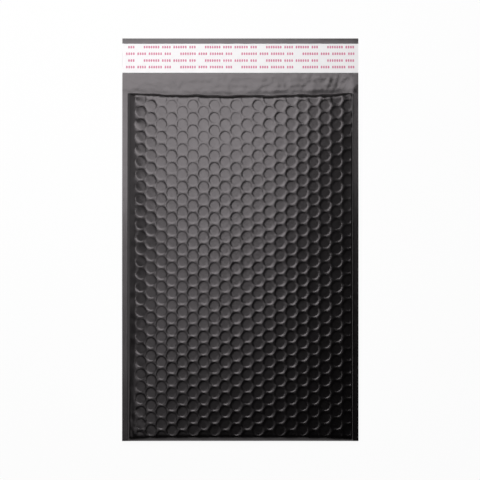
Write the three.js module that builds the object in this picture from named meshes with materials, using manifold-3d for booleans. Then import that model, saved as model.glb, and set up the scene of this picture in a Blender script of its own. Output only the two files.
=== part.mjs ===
// A padded mailing envelope of black film lined with bubble sheet.
// One web is folded at the bottom and welded along both sides, so the pouch is a single piece, open at its mouth.
// The back panel runs on past the mouth as a flap of plain film, which carries a glue band under a release liner.
// Millimetres. X is across, Y runs from the fold to the flap's free edge, Z is up.
// The envelope lies on its back with the flap open, and the origin is under the middle of its outline.
import * as THREE from "three";
import Module from "manifold-3d";
import { mergeVertices } from "three/addons/utils/BufferGeometryUtils.js";

const wasm = await Module();
wasm.setup();

// Outline
const WIDTH = 220; // over both side welds
const POUCH_LENGTH = 324; // bottom fold to mouth
const FLAP_LENGTH = 51; // mouth to the flap's free edge
const MOUTH_DIP = 2.4; // sag of the mouth's edge towards the fold, at its middle

// Walls and welds
const WALL = 3.5; // outer film and bubble lining together
const FILM = 0.4; // plain film of the flap
const WELD_WIDTH = 5; // flat band along each side
const WELD_THICKNESS = 0.8; // both walls melted together
const WELD_HEIGHT = 4.5; // middle of the welds above the table

// Pocket
const POCKET_GAP = 6.5; // clear height between the linings, at the middle
const MOUTH_GAP = 5.2; // the same at the mouth
const MOUTH_REACH = 90; // length over which the gap closes towards the mouth
const POCKET_INSET = 9; // from a weld's inner edge to the pocket's edge
const POCKET_END = 6; // from the fold to the pocket's bottom
const POCKET_ROUND = 20; // length over which the pocket's bottom opens

// Swelling of the panels
const SIDE_POWER = 3; // higher is a boxier section across
const FOLD_ROUND = 26; // length over which the front panel rises from the fold
const FOLD_POWER = 2.6;
const BACK_ROUND = 22; // width over which the back panel lifts off the table

// Bubble cells, which show through the film as shallow round dimples in a hexagonal pattern
const BUBBLE_PITCH = 11.6; // between neighbours
const BUBBLE_FLOOR = 8.9; // across the flat floor of a dimple
const DIMPLE_DEPTH = 0.9;
const CRUSHED_DEPTH = 0.5; // of the dimples that a weld, the mouth or the fold has caught
const FIRST_COLUMN = 12.8; // from the left weld to the first column's middle
const FIRST_ROW = 7.9; // from the mouth to the first row's middle
const FLAT_FLOOR_CELLS = 520; // past this many bubbles the dimples are plain pits, to keep the mesh light

// Glue band and release liner
const LINER_WIDTH = 27;
const LINER_SETBACK = 5; // from the flap's free edge
const LINER_THICKNESS = 0.2;
const LINER_CLEAR = 2; // flat film between the liner and the flap's curve at the mouth
const GLUE_WIDTH = 21;
const GLUE_END = 3; // bare film at each end of the glue band
const GLUE_THICKNESS = 0.2;

// Mesh spacing of the plain areas
const SHOULDER = 1.6; // first step in from a weld or the fold
const ACROSS_STEPS = 6;
const ALONG_STEPS = 10;
const FLAP_STEPS = 4;
const POCKET_STEPS = 6;

// Places that follow from those sizes
const HALF_WIDTH = WIDTH / 2;
const PANEL_HALF = HALF_WIDTH - WELD_WIDTH;
const FOLD_Y = -(POUCH_LENGTH + FLAP_LENGTH) / 2;
const MOUTH_Y = FOLD_Y + POUCH_LENGTH;
const FLAP_END_Y = MOUTH_Y + FLAP_LENGTH;
const WELD_TOP = WELD_HEIGHT + WELD_THICKNESS / 2;
const WELD_UNDER = WELD_HEIGHT - WELD_THICKNESS / 2;
const FLAP_SETTLE = FLAP_LENGTH - LINER_SETBACK - LINER_WIDTH - LINER_CLEAR;

const { clamp, lerp, smoothstep } = THREE.MathUtils;

// Values from one end to the other in equal steps.
function spread(from, to, steps) {
  return Array.from({ length: steps + 1 }, (_, i) => lerp(from, to, i / steps));
}

// Goes from 0 to 1 with the share, steep at first and level at the end, like a filled bag's edge.
function swell(share, power) {
  return (1 - (1 - clamp(share, 0, 1)) ** power) ** (1 / power);
}

// Clear height of the pocket's middle along the pouch.
function pocketGap(y) {
  return lerp(POCKET_GAP, MOUTH_GAP, smoothstep(y, MOUTH_Y - MOUTH_REACH, MOUTH_Y));
}

// Top of the front panel, without its dimples.
function frontHeight(x, y) {
  const crown = 2 * WALL + pocketGap(y) - WELD_TOP;
  const across = swell((PANEL_HALF - Math.abs(x)) / PANEL_HALF, SIDE_POWER);
  const along = swell((y - FOLD_Y) / FOLD_ROUND, FOLD_POWER);
  return WELD_TOP + crown * across * along;
}

// Underside of the back panel, without its dimples: on the table in the middle, up at the welds and the fold.
function backHeight(x, y) {
  const side = 1 - clamp((PANEL_HALF - Math.abs(x)) / BACK_ROUND, 0, 1);
  const fold = 1 - clamp((y - FOLD_Y) / BACK_ROUND, 0, 1);
  return WELD_UNDER * (1 - (1 - side ** 3) * (1 - fold ** 3));
}

// Underside of the flap, which follows the back panel at the mouth and soon lies flat.
function flapHeight(x, y) {
  return backHeight(x, MOUTH_Y) * (1 - smoothstep(y, MOUTH_Y, MOUTH_Y + FLAP_SETTLE));
}

function mouthEdge(x) {
  return MOUTH_Y - MOUTH_DIP * (1 - (x / HALF_WIDTH) ** 2);
}

// A surface under construction: points, and triangles between them.
class Surface {
  points = [];
  triangles = [];

  point(x, y, z) {
    return this.points.push([x, y, z]) - 1;
  }

  // A flat face with its corners in turn, seen anticlockwise from outside.
  face(...corners) {
    for (let i = 2; i < corners.length; i++) this.triangles.push([corners[0], corners[i - 1], corners[i]]);
  }

  geometry() {
    const made = new THREE.BufferGeometry();
    made.setAttribute("position", new THREE.Float32BufferAttribute(this.points.flat(), 3));
    made.setIndex(this.triangles.flat());
    return made;
  }
}

// Quads between two rows of points, seen anticlockwise as first along the near row, then back along the far one.
function addStrip(add, near, far) {
  for (let i = 0; i + 1 < near.length; i++) add(near[i], near[i + 1], far[i + 1], far[i]);
}

// Bubbles whose middles lie inside an area, on columns that are each shifted by half a pitch from the last.
// Each has its six corners, where it meets its neighbours, pulled in to the area where they reach past it.
function bubbleCells(area) {
  const columnStep = (BUBBLE_PITCH * Math.sqrt(3)) / 2;
  const cells = [];
  for (let column = 0; ; column++) {
    const x = FIRST_COLUMN - PANEL_HALF + column * columnStep;
    if (x > area.right) return cells;
    const top = MOUTH_Y - MOUTH_DIP - FIRST_ROW - ((column % 2) * BUBBLE_PITCH) / 2;
    for (let y = top; y > area.bottom; y -= BUBBLE_PITCH) {
      const cell = bubbleCell(x, y, area);
      if (cell) cells.push(cell);
    }
  }
}

// One bubble, or nothing where too little of it is inside the area.
function bubbleCell(x, y, area) {
  const reach = BUBBLE_PITCH / Math.sqrt(3);
  const least = BUBBLE_PITCH / 4;
  const inside =
    x > area.left + least && x < area.right - least && y > area.bottom + least && y < area.top - least;
  if (!inside) return null;
  let crushed = false;
  const corners = Array.from({ length: 6 }, (_, k) => {
    const free = [x + reach * Math.cos((k * Math.PI) / 3), y + reach * Math.sin((k * Math.PI) / 3)];
    const held = [clamp(free[0], area.left, area.right), clamp(free[1], area.bottom, area.top)];
    crushed ||= held[0] !== free[0] || held[1] !== free[1];
    return { key: free.map((v) => v.toFixed(2)).join(), at: held };
  });
  const places = new Set(corners.map((corner) => corner.at.join()));
  return places.size < corners.length ? null : { x, y, corners, crushed };
}

// A field of dimples. Returns its outline, anticlockwise from above, with the notches between the outer cells filled.
function addBubbleField(surface, add, cells, height, sink, flatFloors) {
  const ridges = new Map();
  const ridgePoint = ({ key, at: [x, y] }) => {
    if (!ridges.has(key)) ridges.set(key, surface.point(x, y, height(x, y)));
    return ridges.get(key);
  };
  const following = new Map();
  for (const cell of cells) {
    const rim = cell.corners.map(ridgePoint);
    if (flatFloors && !cell.crushed) addFloor(surface, add, cell, rim, height, sink);
    else addPit(surface, add, cell, rim, height, sink);
    rim.forEach((from, k) => {
      const to = rim[(k + 1) % rim.length];
      if (following.get(to)?.delete(from)) return;
      if (!following.has(from)) following.set(from, new Set());
      following.get(from).add(to);
    });
  }
  return fillNotches(surface, add, chain(following));
}

// A dimple with a flat floor and a sloping wall up to the ridges round it.
function addFloor(surface, add, { x, y }, rim, height, sink) {
  const floor = rim.map((_, k) => {
    const px = x + (BUBBLE_FLOOR / 2) * Math.cos((k * Math.PI) / 3);
    const py = y + (BUBBLE_FLOOR / 2) * Math.sin((k * Math.PI) / 3);
    return surface.point(px, py, height(px, py) + sink * DIMPLE_DEPTH);
  });
  addStrip(add, [...rim, rim[0]], [...floor, floor[0]]);
  add(...floor);
}

// A dimple that runs down to one point.
function addPit(surface, add, { x, y, crushed }, rim, height, sink) {
  const depth = crushed ? CRUSHED_DEPTH : DIMPLE_DEPTH;
  const middle = surface.point(x, y, height(x, y) + sink * depth);
  rim.forEach((from, k) => add(from, rim[(k + 1) % rim.length], middle));
}

// The closed loop that single steps from point to point make.
function chain(following) {
  const steps = new Map();
  for (const [from, tos] of following) for (const to of tos) steps.set(from, to);
  const [start] = steps.keys();
  const loop = [start];
  for (let next = steps.get(start); next !== start; next = steps.get(next)) loop.push(next);
  return loop;
}

// Twice the plan area of a corner, positive where it turns left.
function turn(surface, a, b, c) {
  const [p, q, r] = [a, b, c].map((index) => surface.points[index]);
  return (q[0] - p[0]) * (r[1] - p[1]) - (q[1] - p[1]) * (r[0] - p[0]);
}

// Covers each inward corner of a loop with a triangle until none is left.
function fillNotches(surface, add, loop) {
  const outline = [...loop];
  let straight = 0;
  for (let i = 0; straight <= outline.length; ) {
    const n = outline.length;
    const [a, b, c] = [outline[(i + n - 1) % n], outline[i % n], outline[(i + 1) % n]];
    if (turn(surface, a, b, c) < -1e-6) {
      add(a, c, b);
      outline.splice(i % n, 1);
      i = (i + n - 2) % (n - 1);
      straight = 0;
    } else {
      i = (i + 1) % n;
      straight++;
    }
  }
  return outline;
}

// Triangles between an outer and an inner loop that both run anticlockwise, always across the shorter diagonal.
function addCollar(surface, add, outer, inner) {
  const apart = (a, b) => {
    const [p, q] = [surface.points[a], surface.points[b]];
    return Math.hypot(p[0] - q[0], p[1] - q[1]);
  };
  const nearest = inner.reduce((best, point) => (apart(outer[0], point) < apart(outer[0], best) ? point : best));
  const first = inner.indexOf(nearest);
  const out = [...outer, outer[0]];
  const inn = [...inner.slice(first), ...inner.slice(0, first + 1)];
  for (let i = 0, j = 0; i < outer.length || j < inner.length; ) {
    const acrossOut = i < outer.length ? apart(out[i + 1], inn[j]) : Infinity;
    const acrossIn = j < inner.length ? apart(out[i], inn[j + 1]) : Infinity;
    if (acrossOut < acrossIn) add(out[i], out[++i], inn[j]);
    else add(out[i], inn[j + 1], inn[j++]);
  }
}

// Grid lines of the panels. The bubble field fills the hole inside the second line from each weld and from the fold.
const columns = [
  -HALF_WIDTH,
  -PANEL_HALF,
  ...spread(SHOULDER - PANEL_HALF, PANEL_HALF - SHOULDER, ACROSS_STEPS),
  PANEL_HALF,
  HALF_WIDTH,
];
const rows = [FOLD_Y, FOLD_Y + SHOULDER / 3, ...spread(FOLD_Y + SHOULDER, MOUTH_Y, ALONG_STEPS)];
const hole = { left: 2, right: columns.length - 3, bottom: 2, top: rows.length - 1 };

// One panel of the pouch, from the fold to the mouth. Returns the points of its grid, row by row.
// An up-facing panel is the front and a down-facing one the back, and sink says which way its dimples go.
function addPanel(surface, add, height, sink, cells, flatFloors) {
  const grid = rows.map((y, j) =>
    columns.map((x, i) => {
      const inHole = i > hole.left && i < hole.right && j > hole.bottom && j < hole.top;
      const py = j === rows.length - 1 ? mouthEdge(x) : y;
      return inHole ? null : surface.point(x, py, height(x, py));
    }),
  );
  for (let j = 0; j + 1 < rows.length; j++) {
    for (let i = 0; i + 1 < columns.length; i++) {
      const inHole = i >= hole.left && i < hole.right && j >= hole.bottom && j < hole.top;
      if (!inHole) addStrip(add, grid[j].slice(i, i + 2), grid[j + 1].slice(i, i + 2));
    }
  }
  const holeColumns = columns.map((_, i) => i).slice(hole.left, hole.right + 1);
  const holeRows = rows.map((_, j) => j).slice(hole.bottom + 1, hole.top);
  const edge = [
    ...holeColumns.map((i) => grid[hole.bottom][i]),
    ...holeRows.map((j) => grid[j][hole.right]),
    ...holeColumns.toReversed().map((i) => grid[hole.top][i]),
    ...holeRows.toReversed().map((j) => grid[j][hole.left]),
  ];
  const field = addBubbleField(surface, add, cells, height, sink, flatFloors);
  addCollar(surface, add, edge, field);
  return grid;
}

// The flap's upper and lower faces. Its lower face starts at the back panel's own edge.
function addFlap(surface, up, down, backEdge) {
  const flapRows = [...spread(MOUTH_Y, MOUTH_Y + FLAP_SETTLE, FLAP_STEPS), FLAP_END_Y];
  const rowPoints = (j, lift) =>
    columns.map((x) => {
      const y = j === 0 ? mouthEdge(x) : flapRows[j];
      return surface.point(x, y, flapHeight(x, y) + lift);
    });
  const upper = flapRows.map((_, j) => rowPoints(j, FILM));
  const lower = flapRows.map((_, j) => (j === 0 ? backEdge : rowPoints(j, 0)));
  for (let j = 0; j + 1 < flapRows.length; j++) {
    addStrip(up, upper[j], upper[j + 1]);
    addStrip(down, lower[j], lower[j + 1]);
  }
  return { upper, lower };
}

// The thin outer edges: the fold, both welds, and the film round the flap.
function addOuterEdges(surface, front, back, flap) {
  const face = (...corners) => surface.face(...corners);
  const last = columns.length - 1;
  const mouth = rows.length - 1;
  const side = (grid, i, from, to) => grid.slice(from, to).map((row) => row[i]);
  addStrip(face, back[0], front[0]);
  addStrip(face, side(back, last, 0, mouth), side(front, last, 0, mouth));
  addStrip(face, side(front, 0, 0, mouth), side(back, 0, 0, mouth));
  addStrip(face, side(flap.lower, last), side(flap.upper, last));
  addStrip(face, side(flap.upper, 0), side(flap.lower, 0));
  addStrip(face, flap.upper.at(-1), flap.lower.at(-1));
  // Each weld ends at the mouth, where the flap's upper face meets it partway up.
  const [before, at, over] = [mouth - 1, back[mouth], flap.upper[0]];
  face(front[before][last], back[before][last], at[last], over[last], front[mouth][last]);
  face(front[before][0], front[mouth][0], over[0], at[0], back[before][0]);
}

// The pouch and its flap with no pocket inside.
function outerForm() {
  const surface = new Surface();
  const up = (...corners) => surface.face(...corners);
  const down = (...corners) => surface.face(...corners.toReversed());
  const gap = SHOULDER / 4;
  const area = {
    left: SHOULDER - PANEL_HALF + gap,
    right: PANEL_HALF - SHOULDER - gap,
    bottom: FOLD_Y + SHOULDER + gap,
    top: MOUTH_Y - MOUTH_DIP - gap,
  };
  // The back's dimples show where it lies flat on the table.
  const backArea = {
    left: BACK_ROUND - PANEL_HALF,
    right: PANEL_HALF - BACK_ROUND,
    bottom: FOLD_Y + BACK_ROUND,
    top: MOUTH_Y - MOUTH_DIP - FIRST_ROW,
  };
  const cells = bubbleCells(area);
  const whole = cells.filter((cell) => !cell.crushed).length;
  const front = addPanel(surface, up, frontHeight, -1, cells, whole <= FLAT_FLOOR_CELLS);
  const back = addPanel(surface, down, backHeight, 1, bubbleCells(backArea), false);
  const flap = addFlap(surface, up, down, back.at(-1));
  addStrip(up, front.at(-1), flap.upper[0]);
  addOuterEdges(surface, front, back, flap);
  return surface.geometry();
}

// The pocket between the linings, as a lens that is open past the mouth.
function pocketForm() {
  const surface = new Surface();
  const half = PANEL_HALF - POCKET_INSET;
  const start = FOLD_Y + POCKET_END;
  const run = MOUTH_Y - start;
  const ys = [...spread(0, 1, POCKET_STEPS).map((t) => start + run * t ** 2), MOUTH_Y + WALL];
  const xs = spread(-1, 1, POCKET_STEPS).map((t) => half * Math.sin((t * Math.PI) / 2));
  const middle = (x, y) => (frontHeight(x, y) + backHeight(x, Math.min(y, MOUTH_Y))) / 2;
  const reach = (x, y) =>
    (pocketGap(y) / 2) * Math.sqrt(1 - (x / half) ** 8) * swell((y - start) / POCKET_ROUND, 2);
  const place = (x, y, side) => surface.point(x, y, middle(x, y) + side * reach(x, y));
  const lower = ys.map((y) => xs.map((x) => place(x, y, -1)));
  const upper = ys.map((y, j) =>
    xs.map((x, i) => (reach(x, y) < 1e-6 ? lower[j][i] : place(x, y, 1))),
  );
  const face = (...corners) => {
    const kept = corners.filter((corner, k) => corner !== corners[(k + 1) % corners.length]);
    if (kept.length > 2) surface.face(...kept);
  };
  for (let j = 0; j + 1 < ys.length; j++) {
    addStrip(face, upper[j], upper[j + 1]);
    addStrip(face, lower[j + 1], lower[j]);
  }
  addStrip(face, upper.at(-1), lower.at(-1));
  return surface.geometry();
}

// A closed geometry as a solid, and a solid as a geometry.
function solidOf(geometry) {
  const merged = mergeVertices(geometry);
  const vertProperties = merged.attributes.position.array;
  return new wasm.Manifold(new wasm.Mesh({ numProp: 3, vertProperties, triVerts: new Uint32Array(merged.index.array) }));
}

function geometryOf(solid) {
  const { vertProperties, triVerts } = solid.getMesh();
  const made = new THREE.BufferGeometry();
  made.setAttribute("position", new THREE.BufferAttribute(vertProperties, 3));
  made.setIndex(new THREE.BufferAttribute(triVerts, 1));
  return made;
}

const blackFilm = new THREE.MeshStandardMaterial({ color: 0x1b1a1b, roughness: 0.45, metalness: 0 });
const whiteLiner = new THREE.MeshStandardMaterial({ color: 0xf3f1f2, roughness: 0.5, metalness: 0 });
const clearGlue = new THREE.MeshStandardMaterial({ color: 0xd9d3bd, roughness: 0.25, metalness: 0 });

function pouch() {
  const mesh = new THREE.Mesh(geometryOf(solidOf(outerForm()).subtract(solidOf(pocketForm()))), blackFilm);
  mesh.name = "padded_pouch";
  return mesh;
}

// A flat strip across the flap, with its underside at a given height.
function strip(name, length, width, thickness, underside, material) {
  const mesh = new THREE.Mesh(new THREE.BoxGeometry(length, width, thickness), material);
  mesh.name = name;
  mesh.position.set(0, FLAP_END_Y - LINER_SETBACK - LINER_WIDTH / 2, underside + thickness / 2);
  return mesh;
}

const envelope = new THREE.Group();
envelope.add(
  pouch(),
  strip("glue_band", WIDTH - 2 * GLUE_END, GLUE_WIDTH, GLUE_THICKNESS, FILM, clearGlue),
  strip("release_liner", WIDTH, LINER_WIDTH, LINER_THICKNESS, FILM + GLUE_THICKNESS, whiteLiner),
);

export default envelope;
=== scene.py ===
"""A padded mailing envelope of black film lined with bubble sheet, dressed over its CAD frame.

Each operator makes one piece or one group of like pieces.
The shape functions work in millimetres, as the part's source does, and the meshes are made in metres.
"""

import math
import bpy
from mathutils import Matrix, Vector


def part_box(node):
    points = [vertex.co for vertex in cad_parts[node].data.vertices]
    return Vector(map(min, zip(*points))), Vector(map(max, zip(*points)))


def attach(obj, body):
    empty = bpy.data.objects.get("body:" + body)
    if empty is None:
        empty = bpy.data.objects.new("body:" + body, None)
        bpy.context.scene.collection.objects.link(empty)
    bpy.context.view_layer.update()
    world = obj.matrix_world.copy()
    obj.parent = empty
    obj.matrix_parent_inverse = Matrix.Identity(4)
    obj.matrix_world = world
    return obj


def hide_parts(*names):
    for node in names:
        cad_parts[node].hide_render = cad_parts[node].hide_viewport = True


bl_info = {
    "name": "Padded Envelope",
    "version": (1, 0, 0),
    "blender": (4, 5, 0),
    "location": "View3D > Sidebar > Envelope",
    "description": "Builds a bubble-lined film envelope with its flap open, around its CAD frame",
    "category": "Object",
}

import bmesh
import bpy
import numpy as np
from bpy.props import FloatProperty, FloatVectorProperty, IntProperty, PointerProperty
from mathutils import Vector, noise
from mathutils.geometry import delaunay_2d_cdt

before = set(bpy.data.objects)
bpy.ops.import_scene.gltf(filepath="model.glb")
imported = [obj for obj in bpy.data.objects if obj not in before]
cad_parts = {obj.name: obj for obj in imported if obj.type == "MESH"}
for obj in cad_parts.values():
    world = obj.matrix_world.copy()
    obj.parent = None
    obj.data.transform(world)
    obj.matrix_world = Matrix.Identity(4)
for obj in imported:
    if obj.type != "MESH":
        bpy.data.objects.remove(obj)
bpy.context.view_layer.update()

MM = 0.001
POUCH_LOW, POUCH_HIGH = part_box("padded_pouch")
LINER_LOW, LINER_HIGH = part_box("release_liner")
GLUE_LOW, GLUE_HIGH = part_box("glue_band")

# Outline, in millimetres
HALF_WIDTH = POUCH_HIGH[0] / MM
FOLD_Y = POUCH_LOW[1] / MM
FLAP_END_Y = POUCH_HIGH[1] / MM
FLAP_LENGTH = 51
MOUTH_Y = FLAP_END_Y - FLAP_LENGTH
MOUTH_DIP = 2.4
WELD_WIDTH = 5
PANEL_HALF = HALF_WIDTH - WELD_WIDTH
WELD_HEIGHT = 4.5
WELD_AT_MOUTH = 1.3
WELD_SETTLE = 120
WELD_FILM = 0.5
LEFT_TILT = 0.03
RIGHT_TILT = 0.05
WELD_WAVE = 0.3
WELD_FADE = 12

# Waves of the mouth's edge: height, length and start
MOUTH_WAVES = ((0.35, 7.3, 0.8), (0.25, 3.1, 2.0))

# Swelling of the panels
WALL = 3.5
POCKET_GAP = 6.5
MOUTH_GAP = 5.6
MOUTH_REACH = 90
SIDE_POWER = 3
RIGHT_EDGE = 1.5
RIGHT_SHARE = 0.45
RIGHT_AT_MOUTH = 0.66
RIGHT_POWER = 3
FOLD_EDGE = 7
FOLD_SHARE = 0.6
FOLD_ROUND = 120
BACK_ROUND = 22

# Film
FILM = 0.3
LIP_FILM = 0.4
SKIN = 1.2
LIP_ROUND = 3.6
LIP_DROP = 4.2
LIP_FADE = 14
MOUTH_TAPER = 6
FLAP_SETTLE = 17
EDGE_CURL = 0.3
POCKET_EDGE = PANEL_HALF - 0.5
POCKET_BOTTOM = FOLD_Y + 1.5
POCKET_SIDE_ROUND = 3
POCKET_FOLD_ROUND = 6
WALL_SHARE = 0.45

# Heights of the front panel's unevenness
SOFT_WAVE = 0.25
WELD_CREASE = 0.4
CRUMPLE = 0.35
CORNER_FOLD = 0.5

# Heights of the flap's unevenness
FLAP_LIFT = 0.35
FLAP_MOTTLE = 0.16
FLAP_WAVE = 0.2
FLAP_STREAK = 0.1
FLAP_CREASE = 0.13
TAPED_SHARE = 0.75

# Bubbles
FIRST_COLUMN = 12.8
COLUMN_SPREAD = 1.007
COLUMN_DRIFT = 2.8
FIRST_ROW = 3.7
FLOOR_RADIUS = 4.5
RIM_RADIUS = 5.15
FLOOR_DISH = 0.15
FLOOR_TILT = 0.006
LOW_DEPTH = 0.6
LOW_START = 60
LOW_FULL = -130

# Differences from bubble to bubble
PLACE_SPREAD = 0.08
SIZE_SPREAD = 0.008
DEPTH_SPREAD = 0.1
TILT_SPREAD = 0.004

# Section of a lining bubble: radius, and share of its height
DOME_SECTION = ((4.95, -0.12), (4.9, 0.35), (4.5, 0.75), (3.4, 0.95))
DOME_SIDES = 12
DOME_SHARE = 0.45

# Spacing of the outline's points, and of the rows beside the welds and beside the fold and the mouth
OUTLINE_STEP = 2.4
WELD_MARGINS = (0, 0.25, 0.7, 1.4, 2.3, 3.4, 4.8, 6.4)
EDGE_MARGINS = (0.2, 0.7, 1.5, 2.6, 4.2)

# Points that are compared with the bubbles at a time
BATCH = 4000

# Sheets on the flap, and the gap that keeps them apart
SEAT = 0.005
GLUE_FILM = 0.2
LINER_FILM = 0.14
LINER_EDGE = 4
MARK_TOP = 0.03

# Marks on the liner: rows below its upper edge, marks in each group, repeat and start of the rows
MARK_ROWS = (3.1, 9.3, 15.6, 21.7)
MARK_GROUPS = (7, 4, 6, 3)
MARK_REPEAT = 57
MARK_STARTS = (40, 63)
MARK_MARGIN = 2

# Width, step, gap after a group and cut corner of a mark, as shares of its size
MARK_WIDTH = 0.62
MARK_STEP = 0.9
MARK_GAP = 0.8
MARK_CUT = 0.5
MARK_CORNERS = ((1, 1), (-1, 1), (-1, -1), (1, -1))

# Finish of the film
FILM_IOR = 1.57
FILM_TINT = (1, 0.925, 0.955, 1)
ROUGH_SPREAD = 0.02

# White table and the wall round it, in millimetres
TABLE_SIDES = 96
TABLE_RADIUS = 8000
TABLE_DROP = 0.3
RISE_RADIUS = 9000
RISE_HEIGHT = 100
WALL_RADIUS = 9300
WALL_LOW = 1200
WALL_MORE = 4000

# Place of the camera over the table, in metres
CAMERA_X = -0.0003
CAMERA_Y = -0.0004


def smoothstep(value, low, high):
    """A smooth rise from 0 at low to 1 at high."""
    share = np.clip((value - low) / (high - low), 0, 1)
    return share * share * (3 - 2 * share)


def swell(share, power):
    """A rounded rise from 0 to 1 that starts upright, as the section of a filled pouch does."""
    rest = 1 - np.clip(share, 0, 1)
    return (1 - rest**power) ** (1 / power)


def ripple(x, y, across, along, layer):
    """Smooth noise over the plan, about -1 to 1. Its waves are that long across and along."""
    a = (x / across).tolist()
    b = (y / along).tolist()
    return np.array([noise.noise((p, q, layer + 0.37)) for p, q in zip(a, b)])


def ridge(x, y, across, along, layer):
    """Sharp-crested folds over the plan, 0 to 1."""
    return (1 - np.minimum(np.abs(ripple(x, y, across, along, layer)) * 2.2, 1)) ** 2


def mouth_edge(x):
    """Y of the mouth's edge, which sags towards the fold and isn't quite straight."""
    share = 1 - (x / HALF_WIDTH) ** 2
    waves = sum(tall * np.sin(x / length + start) for tall, length, start in MOUTH_WAVES)
    return MOUTH_Y - MOUTH_DIP * share + waves * np.minimum(share * 3, 1)


def pocket_gap(y):
    """Clear height between the linings."""
    share = smoothstep(y, MOUTH_Y - MOUTH_REACH, MOUTH_Y)
    return POCKET_GAP + (MOUTH_GAP - POCKET_GAP) * share


def weld_height(y):
    """Height of the welds' middle above the table, which comes down towards the mouth."""
    return WELD_HEIGHT + (WELD_AT_MOUTH - WELD_HEIGHT) * smoothstep(y, MOUTH_Y - WELD_SETTLE, MOUTH_Y)


def weld_wave(x, y):
    """Rise and fall of the welds along their length, and their tilt: up at the left and down at the right."""
    tilt = np.where(x < 0, LEFT_TILT, -RIGHT_TILT) * np.maximum(np.abs(x) - PANEL_HALF, 0)
    return tilt + WELD_WAVE * ripple(x * 0 + np.sign(x) * 5, y, 10, 46, 3)


def front_creases(x, y):
    """Unevenness of the front panel: a soft wave, and a crease, crumples and folds at the left weld."""
    inside = PANEL_HALF - np.abs(x)
    on_panel = smoothstep(inside, 0, 6)
    soft = SOFT_WAVE * ripple(x, y, 42, 55, 1) * on_panel
    left = np.where(x < 0, 1.0, 0.0)
    uneven = 0.6 + 0.4 * ripple(x, y, 90, 21, 2)
    crease = WELD_CREASE * np.exp(-(((inside - 2.4) / 0.6) ** 2)) * uneven
    band = smoothstep(inside, 0.5, 3) * (1 - smoothstep(inside, 9, 16))
    crumple = CRUMPLE * band * ripple(x, y, 7, 4.5, 4)
    corner = np.hypot(x + PANEL_HALF - 9, (y - FOLD_Y - 12) * 0.8)
    folds = CORNER_FOLD * np.exp(-((corner / 12) ** 2)) * ridge(x * 0.6 + y, y - x * 0.5, 6, 20, 5)
    return soft + left * (crease * smoothstep(inside, 0, 1) + crumple + folds * on_panel)


def fold_rise(y):
    """Share of the full swelling: a tight round at the fold, then a slow rise."""
    slow = 1 - (1 - np.clip((y - FOLD_Y) / FOLD_ROUND, 0, 1)) ** 2
    return FOLD_SHARE * swell((y - FOLD_Y) / FOLD_EDGE, 2) + (1 - FOLD_SHARE) * slow


def side_rise(x, y):
    """Share of the full swelling across the panel, which bulges over its right weld, most near the mouth."""
    inside = PANEL_HALF - np.abs(x)
    share = np.clip(inside / PANEL_HALF, 0, 1)
    near = smoothstep(y, MOUTH_Y - MOUTH_REACH, MOUTH_Y)
    steep = RIGHT_SHARE + (RIGHT_AT_MOUTH - RIGHT_SHARE) * near
    right = steep * swell(inside / RIGHT_EDGE, 2) + (1 - steep) * (1 - (1 - share) ** RIGHT_POWER)
    return np.where(x > 0, right, swell(share, SIDE_POWER))


def front_height(x, y):
    """The front panel before its creases and dimples."""
    across = side_rise(x, y)
    weld_top = weld_height(y) + WELD_FILM / 2
    return weld_top + (2 * WALL + pocket_gap(y) - weld_top) * across * fold_rise(y)


def front_skin(x, y):
    """The front panel with its creases, rolled over at the mouth's lip, without its dimples."""
    inside = PANEL_HALF - np.abs(x)
    reach = LIP_ROUND * (0.85 + 0.4 * ripple(x, y * 0, 17, 1, 9))
    lip = 1 - swell((mouth_edge(x) - y) / reach, 2)
    roll = LIP_DROP * lip * smoothstep(inside, 0, LIP_FADE)
    off_fold = smoothstep(y - FOLD_Y, 0, 5)
    return front_height(x, y) + front_creases(x, y) * off_fold + weld_wave(x, y) * weld_share(x) - roll


def weld_share(x):
    """1 on the welds, fading out over the panel."""
    return 1 - smoothstep(PANEL_HALF - np.abs(x), 0, WELD_FADE)


def back_height(x, y):
    """The back panel before its dimples: flat on the table, lifted towards the welds and the fold."""
    side = 1 - np.clip((PANEL_HALF - np.abs(x)) / BACK_ROUND, 0, 1)
    fold = 1 - np.clip((y - FOLD_Y) / BACK_ROUND, 0, 1)
    lifted = 1 - (1 - side**3) * (1 - fold**3)
    return (weld_height(y) - WELD_FILM / 2) * lifted + weld_wave(x, y) * weld_share(x) * side


def flap_under(x, y):
    """The underside of the flap, which settles onto the table past the mouth and is a little wrinkled."""
    start = back_height(x, MOUTH_Y + 0 * y)
    settled = 1 - smoothstep(y, MOUTH_Y, MOUTH_Y + FLAP_SETTLE)
    past = smoothstep(y, mouth_edge(x), mouth_edge(x) + MOUTH_TAPER)
    sides = smoothstep(x, 45, 90) + 0.6 * smoothstep(-x, 80, 100)
    slant = ridge(x - 0.45 * y, y + 0.3 * x, 3.0, 30, 6)
    mottle = FLAP_MOTTLE * ripple(x, y, 4.6, 3.8, 7) + FLAP_WAVE * ripple(x, y, 12, 9, 12)
    streak = FLAP_STREAK * ripple(x, y, 60, 3.5, 8)
    wrinkles = FLAP_LIFT + mottle + streak + FLAP_CREASE * sides * slant
    taped = smoothstep(y, LINER_LOW[1] / MM - 5, LINER_LOW[1] / MM) * TAPED_SHARE
    curl = EDGE_CURL * np.clip((y - LINER_HIGH[1] / MM) / (FLAP_END_Y - LINER_HIGH[1] / MM), 0, 1) ** 2
    return start * settled + wrinkles * past * (1 - taped) + curl


def flap_top(x, y):
    """The upper face of the flap's film."""
    return flap_under(x, y) + FILM


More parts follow.
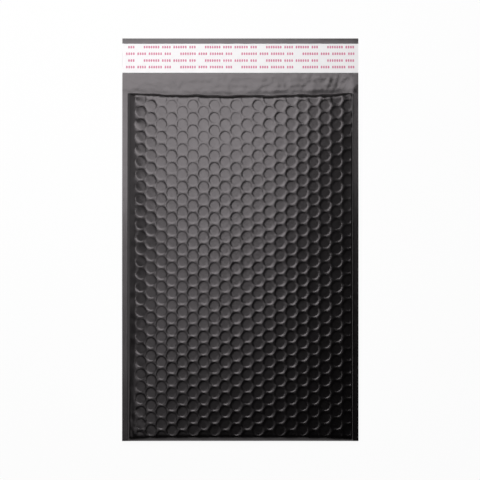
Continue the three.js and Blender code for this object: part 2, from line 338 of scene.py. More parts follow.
class Bubbles:
    """Where the lining's bubbles sit behind a panel, each a little different from the next."""

    def __init__(self, film, seed):
        random = np.random.default_rng(seed)
        pitch = film.bubble_pitch / MM
        step = pitch * math.sqrt(3) / 2 * COLUMN_SPREAD
        middles = []
        for column in range(int((2 * PANEL_HALF - FIRST_COLUMN) / step) + 1):
            x = FIRST_COLUMN - PANEL_HALF + column * step
            x -= COLUMN_DRIFT * (1 - (x / (PANEL_HALF - 8)) ** 2)
            y = MOUTH_Y - MOUTH_DIP - FIRST_ROW - (column % 2) * pitch / 2 + pitch
            while y > FOLD_Y - pitch / 3:
                if y < mouth_edge(x) + pitch / 4:
                    middles.append((x, y))
                y -= pitch
        self.pitch = pitch
        self.lattice = np.array(middles)
        count = len(middles)
        self.middles = self.lattice + random.normal(0, PLACE_SPREAD, (count, 2))
        self.size = 1 + random.normal(0, SIZE_SPREAD, count)
        self.depth = film.dimple_depth / MM * (1 + random.normal(0, DEPTH_SPREAD, count))
        self.tilt = random.normal(0, TILT_SPREAD, (count, 2))
        low = smoothstep(-self.lattice[:, 1], -LOW_START, -LOW_FULL)
        self.depth *= 1 + LOW_DEPTH * low
        self.tilt[:, 1] -= FLOOR_TILT * low

    def nearest(self, x, y):
        """The nearest bubble of each point, and the distance to its middle."""
        which = np.empty(len(x), int)
        apart = np.empty(len(x))
        for start in range(0, len(x), BATCH):
            part = slice(start, start + BATCH)
            gaps = np.hypot(x[part, None] - self.middles[:, 0], y[part, None] - self.middles[:, 1])
            which[part] = gaps.argmin(axis=1)
            apart[part] = gaps.min(axis=1)
        return which, apart

    def sink(self, x, y):
        """How far each point is drawn in: an almost flat floor and a narrow wall up to the rim."""
        which, apart = self.nearest(x, y)
        radius = apart / self.size[which]
        off = np.stack([x, y], axis=1) - self.middles[which]
        floor = self.depth[which] + (off * self.tilt[which]).sum(axis=1)
        dish = 1 - FLOOR_DISH * (radius / RIM_RADIUS) ** 2
        return floor * dish * (1 - smoothstep(radius, FLOOR_RADIUS, RIM_RADIUS))

    def plan(self, rings):
        """Plan points for the mesh: rings round each bubble and the places where three bubbles meet."""
        points = [self.middles]
        for radius, count in rings:
            turn = np.arange(count) * 2 * math.pi / count
            ring = radius * np.stack([np.cos(turn), np.sin(turn)], axis=1)
            points.append((self.middles[:, None] + ring * self.size[:, None, None]).reshape(-1, 2))
        meeting = self.pitch / math.sqrt(3)
        points += [self.lattice + (meeting, 0), self.lattice - (meeting, 0)]
        return np.concatenate(points)


def edge_room(x, y):
    """How freely a dimple forms at each point: not at all at a weld, the mouth or the fold."""
    inside = PANEL_HALF - np.abs(x)
    welds = smoothstep(inside, 0.2, 2.4)
    fold = smoothstep(y - FOLD_Y, 2.5, 7)
    mouth = smoothstep(mouth_edge(x) - y, 0.8, 3.5)
    return welds * fold * mouth


def front_surface(x, y, bubbles):
    """The front panel's outer face."""
    return front_skin(x, y) - bubbles.sink(x, y) * edge_room(x, y)


def under_surface(x, y, bubbles):
    """The outer face of the back panel and, past the mouth, of the flap."""
    back = back_height(x, y) + bubbles.sink(x, y) * edge_room(x, y)
    return np.where(y < mouth_edge(x) - 1e-4, back, flap_under(x, y))


def pocket_floor(x, y):
    """The inner face of the back wall's film."""
    room = front_skin(x, y) - back_height(x, y)
    deep = FILM + (SKIN - FILM) * smoothstep(mouth_edge(x) - y, 0, MOUTH_TAPER)
    return back_height(x, y) + np.minimum(deep, WALL_SHARE * room)


def pocket_roof(x, y):
    """The inner face of the front wall's film, which comes down to the floor at the pocket's edges."""
    floor = pocket_floor(x, y)
    room = front_skin(x, y) - back_height(x, y)
    deep = LIP_FILM + (SKIN - LIP_FILM) * smoothstep(mouth_edge(x) - y, 0, MOUTH_TAPER)
    roof = front_skin(x, y) - np.minimum(deep, WALL_SHARE * room)
    from_side = np.clip((POCKET_EDGE - np.abs(x)) / POCKET_SIDE_ROUND, 0, 1)
    from_fold = np.clip((y - POCKET_BOTTOM) / POCKET_FOLD_ROUND, 0, 1)
    return floor + (roof - floor) * swell(from_side, 2) * swell(from_fold, 2)


def spread(low, high, step):
    """Evenly spaced values from low to high, about step apart."""
    return np.linspace(low, high, max(int(round((high - low) / step)), 1) + 1)


def outline_xs():
    """X of the outline's points along the fold, the mouth and the flap's end, denser at the welds."""
    weld = [HALF_WIDTH, HALF_WIDTH - WELD_WIDTH / 2, PANEL_HALF]
    inner = spread(-POCKET_EDGE, POCKET_EDGE, OUTLINE_STEP)
    return np.concatenate([-np.array(weld), inner, weld[::-1]])


def outline(low_edge, high_edge, xs, ys):
    """An anticlockwise plan outline between two edges, each a function that gives Y from X."""
    bottom = np.stack([xs, low_edge(xs)], axis=1)
    top = np.stack([xs, high_edge(xs)], axis=1)
    right = np.stack([np.full(len(ys), xs[-1]), ys], axis=1)
    left = np.stack([np.full(len(ys), xs[0]), ys], axis=1)
    return np.concatenate([bottom, right[1:-1], top[::-1], left[1:-1][::-1]])


def triangulate(edge, inner):
    """Plan points and triangles that fill an outline through the given inner points."""
    plan = [Vector(p) for p in np.concatenate([edge, inner])]
    points, _, faces, _, _, _ = delaunay_2d_cdt(plan, [], [list(range(len(edge)))], 1, 1e-5)
    return np.array([p[:] for p in points], dtype=float), faces


class Shell:
    """Points and faces of a closed mesh, gathered sheet by sheet in millimetres."""

    def __init__(self):
        self.points = []
        self.faces = []
        self.count = 0

    def add(self, x, y, z):
        """Adds points and returns their numbers."""
        x, y, z = np.broadcast_arrays(x, y, z)
        self.points.append(np.stack([x, y, z], axis=-1).reshape(-1, 3))
        numbers = np.arange(self.count, self.count + x.size).reshape(x.shape)
        self.count += x.size
        return numbers

    def sheet(self, plan, faces, z, down=False):
        """Adds a triangulated sheet at those heights, facing up or down."""
        first = int(self.add(plan[:, 0], plan[:, 1], z)[0])
        for face in faces:
            corners = [first + i for i in face]
            self.faces.append(corners[::-1] if down else corners)

    def strip(self, near, far):
        """Adds quads between two rows of numbered points."""
        for i in range(len(near) - 1):
            self.faces.append([int(near[i]), int(near[i + 1]), int(far[i + 1]), int(far[i])])

    def edge(self, x, y, near, far):
        """Adds the strip between two heights along a line."""
        self.strip(self.add(x, y, near), self.add(x, y, far))

    def object(self, name, sharp_degrees):
        """The mesh object, with points that share a place joined and faces turned outwards."""
        mesh = bpy.data.meshes.new(name)
        mesh.from_pydata((np.concatenate(self.points) * MM).tolist(), [], self.faces)
        made = bmesh.new()
        made.from_mesh(mesh)
        bmesh.ops.remove_doubles(made, verts=made.verts, dist=2e-6)
        bmesh.ops.dissolve_degenerate(made, edges=made.edges, dist=1e-7)
        bmesh.ops.recalc_face_normals(made, faces=made.faces)
        bmesh.ops.triangulate(made, faces=made.faces)
        made.to_mesh(mesh)
        made.free()
        mesh.polygons.foreach_set("use_smooth", [True] * len(mesh.polygons))
        mesh.set_sharp_from_angle(angle=math.radians(sharp_degrees))
        piece = bpy.data.objects.new(name, mesh)
        bpy.context.collection.objects.link(piece)
        return piece


def margin_points(bubbles):
    """Plan points beside the welds, the fold and the mouth, clear of the bubbles' own rings."""
    ys = spread(FOLD_Y, MOUTH_Y, OUTLINE_STEP)[1:-1]
    xs = spread(-PANEL_HALF, PANEL_HALF, OUTLINE_STEP)[1:-1]
    rows = []
    for inside in WELD_MARGINS:
        for x in (inside - PANEL_HALF, PANEL_HALF - inside):
            rows.append(np.stack([np.full(len(ys), x), ys], axis=1))
    for x in (HALF_WIDTH - WELD_WIDTH / 2, WELD_WIDTH / 2 - HALF_WIDTH):
        rows.append(np.stack([np.full(len(ys), x), ys], axis=1))
    for off in EDGE_MARGINS:
        rows.append(np.stack([xs, np.full(len(xs), FOLD_Y + off)], axis=1))
        rows.append(np.stack([xs, mouth_edge(xs) - off], axis=1))
    points = np.concatenate(rows)
    inside = PANEL_HALF - np.abs(points[:, 0])
    high = mouth_edge(points[:, 0])
    edge = np.minimum(inside, np.minimum(points[:, 1] - FOLD_Y, high - points[:, 1]))
    _, apart = bubbles.nearest(points[:, 0], points[:, 1])
    keep = (edge < 2.5) | (apart > RIM_RADIUS + 0.3)
    keep &= (points[:, 1] > FOLD_Y + 0.1) & (points[:, 1] < high - 0.1)
    return points[keep]


def panel_points(bubbles, rings):
    """Plan points of a dimpled panel, inside its outline."""
    field = bubbles.plan(rings)
    inside = PANEL_HALF - np.abs(field[:, 0])
    keep = (inside > 2.6) & (field[:, 1] > FOLD_Y + 3) & (field[:, 1] < mouth_edge(field[:, 0]) - 3)
    return np.concatenate([field[keep], margin_points(bubbles)])


def grid_points(xs, low_edge, high_edge, count):
    """Plan points of a plain area, on rows between two edges."""
    shares = (np.arange(count) + 0.5) / count
    rows = [np.stack([xs, low_edge(xs) + (high_edge(xs) - low_edge(xs)) * s], axis=1) for s in shares]
    return np.concatenate(rows)


def level(y):
    """A straight edge at one Y, as a function of X."""
    return lambda x: np.full(np.shape(x), y, float)


fold_line = level(FOLD_Y)
flap_line = level(FLAP_END_Y)
liner_line = level(LINER_LOW[1] / MM)
pocket_line = level(POCKET_BOTTOM)


def pouch_shell(film):
    """The pouch's skin as one closed form: front, back with the flap, and the pocket's inner faces."""
    front = Bubbles(film, film.seed)
    back = Bubbles(film, film.seed + 1)
    shell = Shell()
    xs = outline_xs()
    side_ys = spread(FOLD_Y, MOUTH_Y, OUTLINE_STEP)
    flap_ys = spread(MOUTH_Y, FLAP_END_Y, OUTLINE_STEP)
    flap_xs = xs[1:-1]

    third = (RIM_RADIUS - FLOOR_RADIUS) / 3
    floor_rings = [(FLOOR_RADIUS * 0.56, 6), (FLOOR_RADIUS * 0.9, 14), (FLOOR_RADIUS, 18)]
    fine = floor_rings + [(FLOOR_RADIUS + third, 20), (RIM_RADIUS - third, 22), (RIM_RADIUS, 22)]
    plan, faces = triangulate(outline(fold_line, mouth_edge, xs, side_ys), panel_points(front, fine))
    shell.sheet(plan, faces, front_surface(plan[:, 0], plan[:, 1], front))

    coarse = [(FLOOR_RADIUS * 0.56, 6), (FLOOR_RADIUS, 12), (RIM_RADIUS, 12)]
    flap_rows = grid_points(flap_xs, mouth_edge, flap_line, 32)
    seam = np.stack([flap_xs, mouth_edge(flap_xs)], axis=1)
    inner = np.concatenate([panel_points(back, coarse), seam, flap_rows])
    all_ys = np.concatenate([side_ys, flap_ys[1:]])
    plan, faces = triangulate(outline(fold_line, flap_line, xs, all_ys), inner)
    shell.sheet(plan, faces, under_surface(plan[:, 0], plan[:, 1], back), down=True)

    dense_xs = spread(1 - HALF_WIDTH, HALF_WIDTH - 1, 1.25)
    under_liner = flap_rows[flap_rows[:, 1] > LINER_LOW[1] / MM]
    inner = np.concatenate([grid_points(dense_xs, mouth_edge, liner_line, 20), under_liner])
    plan, faces = triangulate(outline(mouth_edge, flap_line, xs, flap_ys), inner)
    shell.sheet(plan, faces, flap_top(plan[:, 0], plan[:, 1]))

    pocket_xs = xs[3:-3]
    pocket_ys = spread(POCKET_BOTTOM, float(mouth_edge(np.array([POCKET_EDGE]))[0]), 6)
    inner = np.concatenate([
        grid_points(spread(-POCKET_EDGE + 1, POCKET_EDGE - 1, 5), pocket_line, mouth_edge, 60),
        np.stack([pocket_xs[1:-1], mouth_edge(pocket_xs[1:-1]) - 0.8], axis=1),
    ])
    plan, faces = triangulate(outline(pocket_line, mouth_edge, pocket_xs, pocket_ys), inner)
    shell.sheet(plan, faces, pocket_floor(plan[:, 0], plan[:, 1]))
    shell.sheet(plan, faces, pocket_roof(plan[:, 0], plan[:, 1]), down=True)
    close_edges(shell, xs, side_ys, flap_ys, front, back)
    return shell


def close_edges(shell, xs, side_ys, flap_ys, front, back):
    """The thin edges of the skin: the welds, the fold, the mouth's lip and the film round the flap."""
    for side in (-1, 1):
        x = np.full(len(side_ys), side * HALF_WIDTH)
        shell.edge(x, side_ys, under_surface(x, side_ys, back), front_surface(x, side_ys, front))
        x = np.full(len(flap_ys), side * HALF_WIDTH)
        shell.edge(x, flap_ys, under_surface(x, flap_ys, back), flap_top(x, flap_ys))
    ys = fold_line(xs)
    shell.edge(xs, ys, under_surface(xs, ys, back), front_surface(xs, ys, front))
    ys = flap_line(xs)
    shell.edge(xs, ys, under_surface(xs, ys, back), flap_top(xs, ys))
    ys = mouth_edge(xs)
    open_mouth = np.abs(xs) < POCKET_EDGE + 1e-6
    inner = np.where(open_mouth, pocket_roof(xs, ys), flap_top(xs, ys))
    shell.edge(xs, ys, front_surface(xs, ys, front), inner)


def lining_shell(film):
    """The lining's air bubbles inside the pocket, on the front wall and on the back wall."""
    shell = Shell()
    add_domes(shell, Bubbles(film, film.seed), pocket_roof, -1)
    add_domes(shell, Bubbles(film, film.seed + 1), pocket_floor, 1)
    return shell


def add_domes(shell, bubbles, wall, way):
    """Closed domes on one wall of the pocket, standing down from its roof or up from its floor."""
    x, y = bubbles.middles.T
    clear = pocket_roof(x, y) - pocket_floor(x, y)
    tall = np.minimum(WALL - SKIN, DOME_SHARE * clear)
    keep = (PANEL_HALF - np.abs(x) > 6) & (y > FOLD_Y + 9) & (y < mouth_edge(x) - 5.4) & (tall > 0.6)
    x, y, tall = x[keep], y[keep], tall[keep]
    turn = np.arange(DOME_SIDES) * 2 * math.pi / DOME_SIDES
    rings = []
    for radius, share in DOME_SECTION:
        px = x[:, None] + radius * np.cos(turn)
        py = y[:, None] + radius * np.sin(turn)
        base = wall(px.ravel(), py.ravel()).reshape(px.shape)
        rings.append(shell.add(px, py, base + way * tall[:, None] * share))
    tip = shell.add(x, y, wall(x, y) + way * tall)
    foot = shell.add(x, y, wall(x, y) + way * tall * DOME_SECTION[0][1])
    for k in range(len(x)):
        loops = [np.append(ring[k], ring[k][0]) for ring in rings]
        for low, high in zip(loops, loops[1:]):
            shell.strip(low, high)
        for i in range(DOME_SIDES):
            shell.faces.append([int(loops[-1][i]), int(loops[-1][i + 1]), int(tip[k])])
            shell.faces.append([int(loops[0][i + 1]), int(loops[0][i]), int(foot[k])])


def thin_sheet(xs, ys, top, bottom):
    """A closed thin sheet over a grid, between two heights given as functions of X and Y."""
    shell = Shell()
    x, y = np.meshgrid(xs, ys)
    upper = shell.add(x, y, top(x.ravel(), y.ravel()).reshape(x.shape))
    lower = shell.add(x, y, bottom(x.ravel(), y.ravel()).reshape(x.shape))
    for j in range(len(ys) - 1):
        shell.strip(upper[j], upper[j + 1])
        shell.strip(lower[j + 1], lower[j])
    shell.strip(lower[0], upper[0])
    shell.strip(upper[-1], lower[-1])
    shell.strip(upper[:, 0], lower[:, 0])
    shell.strip(lower[:, -1], upper[:, -1])
    return shell


def glue_under(x, y):
    """The underside of the glue, on the flap's film."""
    return flap_top(x, y) + SEAT


def glue_top(x, y):
    """The upper face of the glue."""
    return flap_top(x, y) + GLUE_FILM


def liner_under(x, y):
    """The underside of the liner, which lifts a little along its free edges."""
    middle = (LINER_LOW[1] + LINER_HIGH[1]) / 2 / MM
    half = (LINER_HIGH[1] - LINER_LOW[1]) / 2 / MM
    edge = np.clip((np.abs(y - middle) - half + LINER_EDGE) / LINER_EDGE, 0, 1) ** 2
    lift = 0.12 + 0.1 * ripple(x, y, 23, 300, 11)
    return glue_top(x, y) + SEAT + edge * lift


def liner_top(x, y):
    """The upper face of the liner."""
    return liner_under(x, y) + LINER_FILM


def liner_marks_shell(liner):
    """Rows of small flat marks on the liner, in groups, each mark a tab with cut corners."""
    shell = Shell()
    tall = liner.mark_height / MM
    wide = tall * MARK_WIDTH
    for row, below in enumerate(MARK_ROWS):
        y = LINER_HIGH[1] / MM - below
        start = -HALF_WIDTH + 3 - MARK_STARTS[row % 2]
        while start < HALF_WIDTH:
            x = start
            for group in MARK_GROUPS:
                for _ in range(group):
                    if -HALF_WIDTH + MARK_MARGIN < x and x + wide < HALF_WIDTH - MARK_MARGIN:
                        add_tab(shell, x + wide / 2, y, wide / 2, tall / 2)
                    x += tall * MARK_STEP
                x += tall * MARK_GAP
            start += MARK_REPEAT
    return shell


def add_tab(shell, x, y, half_wide, half_tall):
    """One flat tab with cut corners, just above the liner."""
    cut = half_wide * MARK_CUT
    plan = []
    for k, (cx, cy) in enumerate(MARK_CORNERS):
        ends = [(cx * half_wide, cy * (half_tall - cut)), (cx * (half_wide - cut), cy * half_tall)]
        plan += ends if k % 2 == 0 else ends[::-1]
    plan = np.array(plan) + (x, y)
    liner = liner_top(plan[:, 0], plan[:, 1])
    low = shell.add(plan[:, 0], plan[:, 1], liner + SEAT)
    high = shell.add(plan[:, 0], plan[:, 1], liner + MARK_TOP)
    shell.strip(np.append(low, low[0]), np.append(high, high[0]))
    shell.faces.append([int(i) for i in high])
    shell.faces.append([int(i) for i in low[::-1]])


def new_material(name):
    """A material with its tree and its surface shader."""
    material = bpy.data.materials.new(name)
    material.use_nodes = True
    tree = material.node_tree
    return material, tree, tree.nodes["Principled BSDF"]


def add_noise(tree, scale, detail):
    """Noise in the object's own coordinates, so many features to the metre."""
    place = tree.nodes.new("ShaderNodeTexCoord")
    made = tree.nodes.new("ShaderNodeTexNoise")
    made.inputs["Scale"].default_value = scale
    made.inputs["Detail"].default_value = detail
    tree.links.new(place.outputs["Object"], made.inputs["Vector"])
    return made.outputs["Fac"]


def add_range(tree, value, low, high):
    """Noise, which is mostly between 0.3 and 0.7, stretched to a range."""
    made = tree.nodes.new("ShaderNodeMapRange")
    made.inputs["From Min"].default_value = 0.3
    made.inputs["From Max"].default_value = 0.7
    made.inputs["To Min"].default_value = low
    made.inputs["To Max"].default_value = high
    tree.links.new(value, made.inputs["Value"])
    return made.outputs["Result"]


def add_mix(tree, share, first, second):
    """A mix of two colours."""
    made = tree.nodes.new("ShaderNodeMix")
    made.data_type = "RGBA"
    made.inputs["A"].default_value = (*first, 1)
    made.inputs["B"].default_value = (*second, 1)
    tree.links.new(share, made.inputs["Factor"])
    return made.outputs["Result"]


def add_bump(tree, height, distance, strength, below=None):
    """Fine relief, over other relief if there is any."""
    made = tree.nodes.new("ShaderNodeBump")
    made.inputs["Distance"].default_value = distance
    made.inputs["Strength"].default_value = strength
    tree.links.new(height, made.inputs["Height"])
    if below is not None:
        tree.links.new(below, made.inputs["Normal"])
    return made.outputs["Normal"]


def film_material(film):
    """Satin black film, slightly uneven in gloss, with a fine grain."""
    material, tree, shader = new_material("satin_black_film")
    dark = tuple(film.film_colour)
    pale = tuple(c * 1.4 for c in dark)
    tree.links.new(add_mix(tree, add_noise(tree, 90, 3), dark, pale), shader.inputs["Base Color"])
    smoothest = film.film_roughness - ROUGH_SPREAD
    roughest = film.film_roughness + ROUGH_SPREAD
    rough = add_range(tree, add_noise(tree, 140, 4), smoothest, roughest)
    tree.links.new(rough, shader.inputs["Roughness"])
    shader.inputs["IOR"].default_value = FILM_IOR
    shader.inputs["Specular Tint"].default_value = FILM_TINT
    grain = add_bump(tree, add_noise(tree, 1500, 2), 0.00004, 0.5)
    haze = add_bump(tree, add_noise(tree, 260, 3), 0.0001, 0.4, grain)
    tree.links.new(haze, shader.inputs["Normal"])
    return material


def lining_material(film):
    """The clearer, glossier film of the air bubbles."""
    material, tree, shader = new_material("bubble_lining_film")
    dark = tuple(c * 8 for c in film.film_colour)
    pale = tuple(c * 16 for c in film.film_colour)
    tree.links.new(add_mix(tree, add_noise(tree, 120, 2), dark, pale), shader.inputs["Base Color"])
    tree.links.new(add_range(tree, add_noise(tree, 200, 2), 0.22, 0.32), shader.inputs["Roughness"])
    tree.links.new(add_bump(tree, add_noise(tree, 500, 2), 0.0001, 0.4), shader.inputs["Normal"])
    return material


def glue_material(liner):
    """Pale hot-melt glue."""
    material, tree, shader = new_material("hot_melt_glue")
    colour = tuple(liner.glue_colour)
    dull = tuple(c * 0.85 for c in colour)
    tree.links.new(add_mix(tree, add_noise(tree, 200, 3), colour, dull), shader.inputs["Base Color"])
    shader.inputs["Roughness"].default_value = 0.3
    tree.links.new(add_bump(tree, add_noise(tree, 300, 2), 0.0002, 0.5), shader.inputs["Normal"])
    return material


def liner_material(liner):
    """White coated paper, faintly mottled."""
    material, tree, shader = new_material("white_liner_paper")
    colour = tuple(liner.liner_colour)
    shade = tuple(c * 0.955 for c in colour)
    tree.links.new(add_mix(tree, add_noise(tree, 160, 4), colour, shade), shader.inputs["Base Color"])
    tree.links.new(add_range(tree, add_noise(tree, 200, 2), 0.42, 0.55), shader.inputs["Roughness"])
    tree.links.new(add_bump(tree, add_noise(tree, 900, 3), 0.00006, 0.5), shader.inputs["Normal"])
    return material


def mark_material(liner):
    """Pink ink."""
    material, tree, shader = new_material("pink_liner_ink")
    colour = tuple(liner.mark_colour)
    faded = tuple(min(c * 1.25, 1) for c in colour)
    tree.links.new(add_mix(tree, add_noise(tree, 400, 3), colour, faded), shader.inputs["Base Color"])
    shader.inputs["Roughness"].default_value = 0.5
    return material


def settle(piece, material, slot, *nodes):
    """Gives a piece its finish and its place in the frame."""
    piece.data.materials.append(material)
    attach(piece, "root")
    if nodes:
        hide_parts(*nodes)


class FilmSettings(bpy.types.PropertyGroup):
    """Sizes and finish of the dimpled film."""

    bubble_pitch: FloatProperty(
        name="Bubble pitch",
        description="Distance between neighbouring bubbles",
        default=0.0116,
        min=0.008,
        max=0.02,
        unit="LENGTH",
    )
    dimple_depth: FloatProperty(
        name="Dimple depth",
        description="How far the film is drawn in over a bubble",
        default=0.0002,
        min=0.0,
        max=0.002,
        unit="LENGTH",
    )
    film_colour: FloatVectorProperty(
        name="Film colour",
        description="Colour of the film",
        default=(0.001, 0.0008, 0.0009),
        min=0.0,
        max=1.0,
        subtype="COLOR",
    )
    film_roughness: FloatProperty(
        name="Film roughness",
        description="How far the film blurs what it reflects",
        default=0.298,
        min=0.1,
        max=0.9,
        subtype="FACTOR",
    )
    seed: IntProperty(
        name="Seed",
        description="Picks the small differences between the bubbles",
        default=7,
        min=0,
    )


class LinerSettings(bpy.types.PropertyGroup):
    """Colours of the glue and the release liner, and the size of the liner's marks."""

    liner_colour: FloatVectorProperty(
        name="Liner colour",
        description="Colour of the release liner",
        default=(0.9, 0.88, 0.89),
        min=0.0,
        max=1.0,
        subtype="COLOR",
    )
    mark_colour: FloatVectorProperty(
        name="Mark colour",
        description="Colour of the marks on the liner",
        default=(0.55, 0.16, 0.26),
        min=0.0,
        max=1.0,
        subtype="COLOR",
    )
    mark_height: FloatProperty(
        name="Mark height",
        description="Height of a mark on the liner",
        default=0.0024,
        min=0.001,
        max=0.005,
        unit="LENGTH",
    )
    glue_colour: FloatVectorProperty(
        name="Glue colour",
        description="Colour of the glue band",
        default=(0.69, 0.65, 0.51),
        min=0.0,
        max=1.0,
        subtype="COLOR",
    )


class StageSettings(bpy.types.PropertyGroup):
    """Camera and light."""

    camera_height: FloatProperty(
        name="Camera height",
        description="Height of the camera above the table",
        default=2.4,
        min=0.5,
        unit="LENGTH",
    )
    view_width: FloatProperty(
        name="View width",
        description="Width of the table that the view takes in",
        default=0.4476,
        min=0.1,
        unit="LENGTH",
    )
    softbox_power: FloatProperty(
        name="Softbox power",
        description="Power of the softbox over the flap",
        default=4.2,
        min=0.0,
        unit="POWER",
    )
    fill_power: FloatProperty(
        name="Fill power",
        description="Power of the small lamp over the middle",
        default=0.095,
        min=0.0,
        unit="POWER",
    )
    low_fill_power: FloatProperty(
        name="Low fill power",
        description="Power of the small lamp over the lower left",
        default=0.1,
        min=0.0,
        unit="POWER",
    )
    card_power: FloatProperty(
        name="Card power",
        description="Power of each card at the sides",
        default=0.33,
        min=0.0,
        unit="POWER",
    )
    room_light: FloatProperty(
        name="Room light",
        description="Strength of the dim light all round",
        default=0.003,
        min=0.0,
    )


class ENVELOPE_OT_pouch(bpy.types.Operator):
    """Makes the pouch's skin with its dimples, welds, fold, open mouth and flap"""

    bl_idname = "envelope.pouch"
    bl_label = "Pouch"

    def execute(self, context):
        film = context.scene.envelope_film
        piece = pouch_shell(film).object("pouch_skin", 50)
        settle(piece, film_material(film), "dark_film", "padded_pouch")
        return {"FINISHED"}


class ENVELOPE_OT_lining(bpy.types.Operator):
    """Makes the air bubbles that line the pocket"""

    bl_idname = "envelope.lining"
    bl_label = "Bubble lining"

    def execute(self, context):
        film = context.scene.envelope_film
        piece = lining_shell(film).object("bubble_lining", 60)
        settle(piece, lining_material(film), "dark_film")
        return {"FINISHED"}


class ENVELOPE_OT_glue(bpy.types.Operator):
    """Makes the glue band on the flap"""

    bl_idname = "envelope.glue"
    bl_label = "Glue band"

    def execute(self, context):
        xs = spread(GLUE_LOW[0] / MM, GLUE_HIGH[0] / MM, 2.4)
        ys = spread(GLUE_LOW[1] / MM, GLUE_HIGH[1] / MM, 1.8)
        piece = thin_sheet(xs, ys, glue_top, glue_under).object("glue_strip", 40)
        settle(piece, glue_material(context.scene.envelope_liner), "glue", "glue_band")
        return {"FINISHED"}


class ENVELOPE_OT_liner(bpy.types.Operator):
    """Makes the release liner over the glue, and the marks on it"""

    bl_idname = "envelope.liner"
    bl_label = "Release liner"

    def execute(self, context):
        liner = context.scene.envelope_liner
        xs = spread(LINER_LOW[0] / MM, LINER_HIGH[0] / MM, 2.0)
        ys = spread(LINER_LOW[1] / MM, LINER_HIGH[1] / MM, 1.5)
        piece = thin_sheet(xs, ys, liner_top, liner_under).object("liner_strip", 40)
        settle(piece, liner_material(liner), "liner", "release_liner")
        marks = liner_marks_shell(liner).object("liner_marks", 40)
        settle(marks, mark_material(liner), "liner")
        return {"FINISHED"}


def white_paper_material():
    """White ground that shows as white to the camera and in reflections, and still takes a shadow."""
    material, tree, shader = new_material("white_ground")
    shader.inputs["Base Color"].default_value = (0.9, 0.9, 0.9, 1)
    shader.inputs["Roughness"].default_value = 0.9
    shader.inputs["Specular IOR Level"].default_value = 0.0
    rays = tree.nodes.new("ShaderNodeLightPath")
    seen = rays.outputs["Is Camera Ray"]
    for kind in ("Is Glossy Ray", "Is Transmission Ray"):
        either = tree.nodes.new("ShaderNodeMath")
        either.operation = "MAXIMUM"
        tree.links.new(seen, either.inputs[0])
        tree.links.new(rays.outputs[kind], either.inputs[1])
        seen = either.outputs["Value"]
    share = tree.nodes.new("ShaderNodeMath")
    share.operation = "MULTIPLY"
    share.inputs[1].default_value = 0.95
    tree.links.new(seen, share.inputs[0])
    glow = tree.nodes.new("ShaderNodeEmission")
    glow.inputs["Strength"].default_value = 1.0
    mix = tree.nodes.new("ShaderNodeMixShader")
    tree.links.new(share.outputs["Value"], mix.inputs["Fac"])
    tree.links.new(shader.outputs["BSDF"], mix.inputs[1])
    tree.links.new(glow.outputs["Emission"], mix.inputs[2])
    tree.links.new(mix.outputs["Shader"], tree.nodes["Material Output"].inputs["Surface"])
    return material


def add_lamp(name, power, size, place, turn):
    """A rectangular lamp that faces down before it is turned, with its turn in degrees."""
    lamp = bpy.data.lights.new(name, "AREA")
    lamp.shape = "RECTANGLE"
    lamp.size, lamp.size_y = size
    lamp.energy = power
    made = bpy.data.objects.new(name, lamp)
    made.location = place
    made.rotation_euler = [math.radians(angle) for angle in turn]
    bpy.context.scene.collection.objects.link(made)


def white_table():
    """A round white table whose edge turns up into a wall, higher on one side."""
    shell = Shell()
    turn = np.arange(TABLE_SIDES) * 2 * math.pi / TABLE_SIDES
    wall = WALL_LOW + WALL_MORE * smoothstep(-np.sin(turn) - np.cos(turn), 0.3, 1)
    rows = []
    for radius, height in ((TABLE_RADIUS, -TABLE_DROP), (RISE_RADIUS, RISE_HEIGHT), (WALL_RADIUS, wall)):
        rows.append(shell.add(radius * np.cos(turn), radius * np.sin(turn), height))
    shell.faces.append([int(i) for i in rows[0]])
    for low, high in zip(rows, rows[1:]):
        shell.strip(np.append(high, high[0]), np.append(low, low[0]))
    table = shell.object("white_table", 80)
    table.data.materials.append(white_paper_material())
    return table


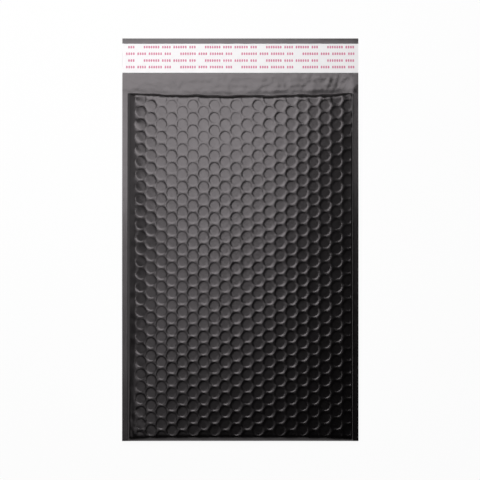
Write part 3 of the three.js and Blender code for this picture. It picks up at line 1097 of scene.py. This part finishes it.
class ENVELOPE_OT_stage(bpy.types.Operator):
    """Sets the white table, the softbox, the fill lamps, the side cards, the dim room and the camera above"""

    bl_idname = "envelope.stage"
    bl_label = "Stage"

    def execute(self, context):
        stage = context.scene.envelope_stage
        scene = context.scene
        scene.view_settings.view_transform = "Standard"

        white_table()
        add_lamp("softbox", stage.softbox_power, (0.42, 0.59), (-0.145, 0.307, 0.59), (0, 0, 52))
        add_lamp("fill", stage.fill_power, (0.14, 0.15), (-0.08, -0.085, 0.43), (0, -6, 0))
        add_lamp("low_fill", stage.low_fill_power, (0.16, 0.24), (-0.185, -0.19, 0.45), (0, -15, 0))
        add_lamp("left_card", stage.card_power, (0.3, 0.4), (-0.52, 0.12, 0.46), (0, -48, 0))
        add_lamp("right_card", stage.card_power, (0.25, 0.3), (0.5, 0.4, 0.46), (0, 48, 0))

        world = bpy.data.worlds.new("dim_room")
        world.use_nodes = True
        sky = world.node_tree.nodes["Background"]
        sky.inputs["Color"].default_value = (1, 1, 1, 1)
        sky.inputs["Strength"].default_value = stage.room_light
        scene.world = world

        lens = bpy.data.cameras.new("camera")
        lens.sensor_width = 36
        lens.lens = lens.sensor_width * stage.camera_height / stage.view_width
        lens.clip_end = 50
        camera = bpy.data.objects.new("camera", lens)
        camera.location = (CAMERA_X, CAMERA_Y, stage.camera_height)
        scene.collection.objects.link(camera)
        scene.camera = camera
        return {"FINISHED"}


class ENVELOPE_PT_pieces(bpy.types.Panel):
    """Lists the envelope's pieces and settings"""

    bl_idname = "ENVELOPE_PT_pieces"
    bl_label = "Padded Envelope"
    bl_space_type = "VIEW_3D"
    bl_region_type = "UI"
    bl_category = "Envelope"

    def draw(self, context):
        for settings, operators in GROUPS:
            box = self.layout.box()
            group = getattr(context.scene, settings)
            for name in group.bl_rna.properties.keys():
                if name not in ("rna_type", "name"):
                    box.prop(group, name)
            for operator in operators:
                box.operator(operator.bl_idname)


GROUPS = (
    ("envelope_film", (ENVELOPE_OT_pouch, ENVELOPE_OT_lining)),
    ("envelope_liner", (ENVELOPE_OT_glue, ENVELOPE_OT_liner)),
    ("envelope_stage", (ENVELOPE_OT_stage,)),
)
SETTINGS = {
    "envelope_film": FilmSettings,
    "envelope_liner": LinerSettings,
    "envelope_stage": StageSettings,
}
OPERATORS = (
    ENVELOPE_OT_pouch,
    ENVELOPE_OT_lining,
    ENVELOPE_OT_glue,
    ENVELOPE_OT_liner,
    ENVELOPE_OT_stage,
)
CLASSES = (*SETTINGS.values(), *OPERATORS, ENVELOPE_PT_pieces)


def register():
    """Registers the settings, the operators and the panel."""
    for made in CLASSES:
        bpy.utils.register_class(made)
    for name, group in SETTINGS.items():
        setattr(bpy.types.Scene, name, PointerProperty(type=group))


def unregister():
    """Takes them away again."""
    for name in SETTINGS:
        delattr(bpy.types.Scene, name)
    for made in reversed(CLASSES):
        bpy.utils.unregister_class(made)


def main():
    """Makes every piece and the stage."""
    register()
    bpy.ops.envelope.pouch()
    bpy.ops.envelope.lining()
    bpy.ops.envelope.glue()
    bpy.ops.envelope.liner()
    bpy.ops.envelope.stage()


if __name__ == "__main__":
    main()
